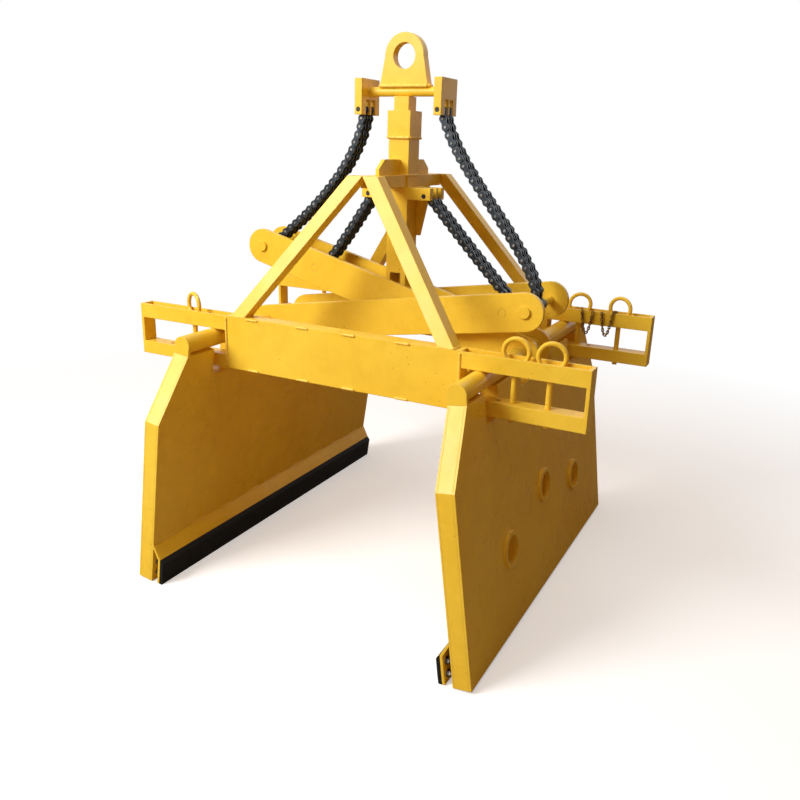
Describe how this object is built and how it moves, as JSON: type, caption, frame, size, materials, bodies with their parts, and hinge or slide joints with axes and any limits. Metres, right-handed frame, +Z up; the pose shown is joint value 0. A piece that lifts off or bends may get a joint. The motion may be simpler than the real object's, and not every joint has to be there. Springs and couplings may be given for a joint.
{
  "type": "brick clamp",
  "caption": "Yellow self-closing brick lifting clamp: bridge frame, crossed arms on duplex chains, two sliding splayed jaws with rubber pads",
  "frame": {"origin": "middle of the clamp on the ground the jaws stand on", "axes": "+X along the two beams, +Y along the jaws, +Z up"},
  "size_m": [1.5, 1.316, 1.6819],
  "materials": {
    "yellow_paint": "gloss enamel over welded steel",
    "chain_steel": "oiled dark chain steel",
    "pad_rubber": "matt black rubber",
    "bolt_steel": "plated bolts",
    "pin_steel": "ground pin steel"
  },
  "bodies": {
    "frame": {"mast_tube": "yellow_paint", "mast_collar": "yellow_paint", "ridge_beams": "yellow_paint", "ridge_gussets": "yellow_paint", "frame_chain_blocks": "yellow_paint", "frame_chain_pins": "pin_steel", "leg_front_left": "yellow_paint", "leg_front_right": "yellow_paint", "leg_rear_left": "yellow_paint", "leg_rear_right": "yellow_paint", "beam_box_front": "yellow_paint", "beam_box_rear": "yellow_paint", "rail_front_left": "yellow_paint", "rail_front_right": "yellow_paint", "rail_rear_left": "yellow_paint", "rail_rear_right": "yellow_paint", "cross_members": "yellow_paint"},
    "head": {"inner_bar": "yellow_paint", "spreader_bar": "yellow_paint", "lifting_eye": "yellow_paint", "head_chain_blocks": "yellow_paint", "head_chain_pins": "pin_steel"},
    "jaw_left": {"jaw_tube_left": "yellow_paint", "edge_frame_left": "yellow_paint", "outer_skin_left": "yellow_paint", "inner_skin_left": "yellow_paint", "pad_carrier_left": "yellow_paint", "pad_rubber_left": "pad_rubber", "pad_bolts_left": "bolt_steel"},
    "jaw_right": {"jaw_tube_right": "yellow_paint", "edge_frame_right": "yellow_paint", "outer_skin_right": "yellow_paint", "inner_skin_right": "yellow_paint", "pad_carrier_right": "yellow_paint", "pad_rubber_right": "pad_rubber", "pad_bolts_right": "bolt_steel"},
    "arm_a": {"arm_a_plate_front": "yellow_paint", "arm_a_plate_rear": "yellow_paint", "arm_a_cross_plate": "yellow_paint", "arm_a_pins": "yellow_paint", "centre_shaft": "pin_steel"},
    "arm_b": {"arm_b_plate_front": "yellow_paint", "arm_b_plate_rear": "yellow_paint", "arm_b_pins": "yellow_paint"},
    "chain_upper_left_1": {"chain_upper_left_1": "chain_steel"},
    "chain_upper_left_2": {"chain_upper_left_2": "chain_steel"},
    "chain_upper_left_3": {"chain_upper_left_3": "chain_steel"},
    "chain_upper_right_1": {"chain_upper_right_1": "chain_steel"},
    "chain_upper_right_2": {"chain_upper_right_2": "chain_steel"},
    "chain_upper_right_3": {"chain_upper_right_3": "chain_steel"},
    "chain_lower_left_1": {"chain_lower_left_1": "chain_steel"},
    "chain_lower_left_2": {"chain_lower_left_2": "chain_steel"},
    "chain_lower_right_1": {"chain_lower_right_1": "chain_steel"},
    "chain_lower_right_2": {"chain_lower_right_2": "chain_steel"},
    "stop_pin_front_inner": {"stop_pin_front_inner": "yellow_paint"},
    "stop_pin_front_outer": {"stop_pin_front_outer": "yellow_paint"},
    "stop_pin_rear_inner": {"stop_pin_rear_inner": "yellow_paint"},
    "stop_pin_rear_outer": {"stop_pin_rear_outer": "yellow_paint"},
    "stop_pin_front_left": {"stop_pin_front_left": "yellow_paint"},
    "stop_pin_rear_left": {"stop_pin_rear_left": "yellow_paint"}
  },
  "joints": [
    {"name": "jaw_left_slide", "type": "slide", "parent": "frame", "child": "jaw_left", "axis": [1, 0, 0], "range_m": [0, 0.02]},
    {"name": "jaw_right_slide", "type": "slide", "parent": "frame", "child": "jaw_right", "axis": [-1, 0, 0], "range_m": [0, 0.02]},
    {"name": "head_lift", "type": "slide", "parent": "frame", "child": "head", "axis": [0, 0, 1], "range_m": [0, 0.15]},
    {"name": "arm_a_turn", "type": "hinge", "parent": "jaw_right", "child": "arm_a", "pos_m": [0.45, 0, 0.7685], "axis": [0, 1, 0], "range_deg": [0, 9.01]},
    {"name": "arm_b_turn", "type": "hinge", "parent": "jaw_left", "child": "arm_b", "pos_m": [-0.45, 0, 0.7685], "axis": [0, -1, 0], "range_deg": [0, 9.01]},
    {"name": "chain_upper_left_1_bend", "type": "hinge", "parent": "head", "child": "chain_upper_left_1", "pos_m": [-0.1345, 0, 1.462], "axis": [0, -1, 0], "range_deg": [0, 7.63]},
    {"name": "chain_upper_left_2_bend", "type": "hinge", "parent": "chain_upper_left_1", "child": "chain_upper_left_2", "pos_m": [-0.20078, 0, 1.29859], "axis": [0, -1, 0], "range_deg": [0, 0.06]},
    {"name": "chain_upper_left_3_bend", "type": "hinge", "parent": "chain_upper_left_2", "child": "chain_upper_left_3", "pos_m": [-0.3374, 0, 1.14799], "axis": [0, -1, 0], "range_deg": [-14.61, 0]},
    {"name": "chain_upper_right_1_bend", "type": "hinge", "parent": "head", "child": "chain_upper_right_1", "pos_m": [0.1345, 0, 1.462], "axis": [0, -1, 0], "range_deg": [-4.3, 0]},
    {"name": "chain_upper_right_2_bend", "type": "hinge", "parent": "chain_upper_right_1", "child": "chain_upper_right_2", "pos_m": [0.2311, 0, 1.28402], "axis": [0, -1, 0], "range_deg": [0, 0.84]},
    {"name": "chain_upper_right_3_bend", "type": "hinge", "parent": "chain_upper_right_2", "child": "chain_upper_right_3", "pos_m": [0.35857, 0, 1.1249], "axis": [0, -1, 0], "range_deg": [0, 6.79]},
    {"name": "chain_lower_left_1_bend", "type": "hinge", "parent": "frame", "child": "chain_lower_left_1", "pos_m": [-0.098, 0, 1.212], "axis": [0, -1, 0], "range_deg": [0, 46.93]},
    {"name": "chain_lower_left_2_bend", "type": "hinge", "parent": "chain_lower_left_1", "child": "chain_lower_left_2", "pos_m": [-0.17097, 0, 1.10785], "axis": [0, -1, 0], "range_deg": [-97.3, 0]},
    {"name": "chain_lower_right_1_bend", "type": "hinge", "parent": "frame", "child": "chain_lower_right_1", "pos_m": [0.098, 0, 1.212], "axis": [0, -1, 0], "range_deg": [-29.9, 0]},
    {"name": "chain_lower_right_2_bend", "type": "hinge", "parent": "chain_lower_right_1", "child": "chain_lower_right_2", "pos_m": [0.2382, 0, 1.06454], "axis": [0, -1, 0], "range_deg": [0, 80.5]},
    {"name": "stop_pin_front_inner_lift", "type": "slide", "parent": "frame", "child": "stop_pin_front_inner", "axis": [0, 0, 1], "range_m": [0, 0.18]},
    {"name": "stop_pin_front_outer_lift", "type": "slide", "parent": "frame", "child": "stop_pin_front_outer", "axis": [0, 0, 1], "range_m": [0, 0.18]},
    {"name": "stop_pin_rear_inner_lift", "type": "slide", "parent": "frame", "child": "stop_pin_rear_inner", "axis": [0, 0, 1], "range_m": [0, 0.18]},
    {"name": "stop_pin_rear_outer_lift", "type": "slide", "parent": "frame", "child": "stop_pin_rear_outer", "axis": [0, 0, 1], "range_m": [0, 0.18]},
    {"name": "stop_pin_front_left_lift", "type": "slide", "parent": "frame", "child": "stop_pin_front_left", "axis": [0, 0, 1], "range_m": [0, 0.18]},
    {"name": "stop_pin_rear_left_lift", "type": "slide", "parent": "frame", "child": "stop_pin_rear_left", "axis": [0, 0, 1], "range_m": [0, 0.18]}
  ],
  "couplings": [
    {"joint": "jaw_right_slide", "follows": "jaw_left_slide", "ratio": 1},
    {"joint": "head_lift", "follows": "jaw_left_slide", "ratio": 7.5},
    {"joint": "arm_a_turn", "follows": "jaw_left_slide", "rad_per_m": 7.8218},
    {"joint": "arm_b_turn", "follows": "jaw_left_slide", "rad_per_m": 7.8218},
    {"joint": "chain_upper_left_1_bend", "follows": "jaw_left_slide", "rad_per_m": 6.6153},
    {"joint": "chain_upper_left_2_bend", "follows": "jaw_left_slide", "rad_per_m": 0.00776},
    {"joint": "chain_upper_left_3_bend", "follows": "jaw_left_slide", "rad_per_m": -12.702},
    {"joint": "chain_upper_right_1_bend", "follows": "jaw_left_slide", "rad_per_m": -3.7064},
    {"joint": "chain_upper_right_2_bend", "follows": "jaw_left_slide", "rad_per_m": 0.69098},
    {"joint": "chain_upper_right_3_bend", "follows": "jaw_left_slide", "rad_per_m": 5.8782},
    {"joint": "chain_lower_left_1_bend", "follows": "jaw_left_slide", "rad_per_m": 40.912},
    {"joint": "chain_lower_left_2_bend", "follows": "jaw_left_slide", "rad_per_m": -84.866},
    {"joint": "chain_lower_right_1_bend", "follows": "jaw_left_slide", "rad_per_m": -26.053},
    {"joint": "chain_lower_right_2_bend", "follows": "jaw_left_slide", "rad_per_m": 70.206}
  ]
}
